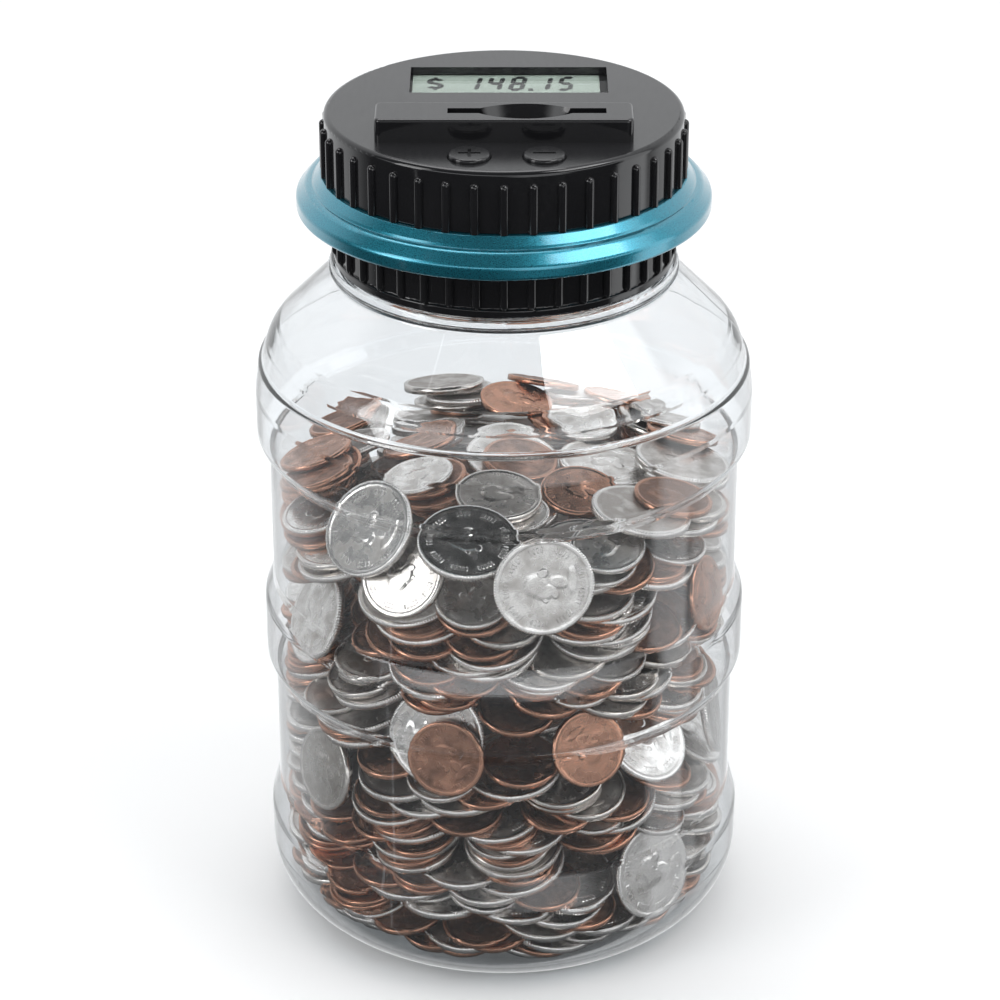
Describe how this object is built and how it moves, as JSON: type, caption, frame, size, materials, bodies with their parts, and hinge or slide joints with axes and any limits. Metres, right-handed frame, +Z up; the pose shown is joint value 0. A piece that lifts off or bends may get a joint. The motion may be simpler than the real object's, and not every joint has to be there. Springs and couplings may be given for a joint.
{
  "type": "digital coin counting jar",
  "caption": "Clear moulded jar of coins with a black screw-on counting lid: display, coin slot, plus and minus keys, teal trim ring.",
  "frame": {"origin": "middle of the base, on the surface that the jar stands on", "axes": "+Z up along the jar's axis; -Y is the front, where the keys are; +X is to the right seen from the front"},
  "size_m": [0.123, 0.123, 0.2199],
  "materials": {
    "clear_pet": "clear, glossy",
    "coins": "worn, mixed copper and silver coins",
    "teal_metallic": "metallic paint, glossy",
    "black_abs": "glossy",
    "black_satin": "satin",
    "seal_foam": "matt",
    "screw_steel": "plated",
    "spring_steel": "nickel plated",
    "clear_window": "clear, glossy",
    "display_grey": "grey-green with black digits",
    "elastomer": "matt",
    "board_green": "solder mask",
    "resin": "glossy resin",
    "parts_tin": "tinned",
    "cell_wrap": "printed wrap, plain",
    "lever_white": "satin"
  },
  "bodies": {
    "jar": {"jar_bottle": "clear_pet", "coin_heap": "coins"},
    "trim_ring": {"trim_ring": "teal_metallic"},
    "lid": {"lid_housing": "black_abs", "threaded_skirt": "black_abs", "neck_seal": "seal_foam", "case_screws": "screw_steel", "display_window": "clear_window", "display_panel": "display_grey", "display_frame": "black_satin", "contact_strips": "elastomer", "circuit_board": "board_green", "board_screws": "screw_steel", "counter_chip": "resin", "board_parts": "parts_tin", "button_switches": "black_satin", "coin_chute": "black_satin", "lever_pin": "screw_steel", "lever_spring": "spring_steel", "lever_sensor": "black_satin", "battery_tray": "black_satin", "battery_cells": "cell_wrap", "battery_contacts": "spring_steel", "battery_springs": "spring_steel"},
    "battery_door": {"battery_door": "black_satin", "battery_door_screw": "screw_steel"},
    "plus_button": {"plus_button": "black_abs", "plus_switch_plunger": "black_satin"},
    "minus_button": {"minus_button": "black_abs", "minus_switch_plunger": "black_satin"},
    "coin_lever": {"coin_lever": "lever_white"}
  },
  "joints": [
    {"name": "lid_lift", "type": "slide", "parent": "jar", "child": "trim_ring", "axis": [0, 0, 1], "range_m": [0, 0.0301]},
    {"name": "lid_turn", "type": "hinge", "parent": "trim_ring", "child": "lid", "pos_m": [0, 0, 0.19], "axis": [0, 0, 1], "range_deg": [0, 2160]},
    {"name": "battery_door_swing", "type": "hinge", "parent": "lid", "child": "battery_door", "pos_m": [0, -0.0042, 0.1876], "axis": [-1, 0, 0], "range_deg": [0, 95]},
    {"name": "plus_press", "type": "slide", "parent": "lid", "child": "plus_button", "axis": [0, 0, -1], "range_m": [0, 0.0008], "stiffness_N_per_m": 400, "springref_m": -0.001},
    {"name": "minus_press", "type": "slide", "parent": "lid", "child": "minus_button", "axis": [0, 0, -1], "range_m": [0, 0.0008], "stiffness_N_per_m": 400, "springref_m": -0.001},
    {"name": "lever_swing", "type": "hinge", "parent": "lid", "child": "coin_lever", "pos_m": [0.0286, -0.0176, 0.2074], "axis": [0, -1, 0], "range_deg": [0, 45], "stiffness_Nm_per_rad": 0.002, "springref_deg": -17.19}
  ],
  "couplings": [
    {"joint": "lid_lift", "follows": "lid_turn", "m_per_rad": 0.00079577}
  ]
}
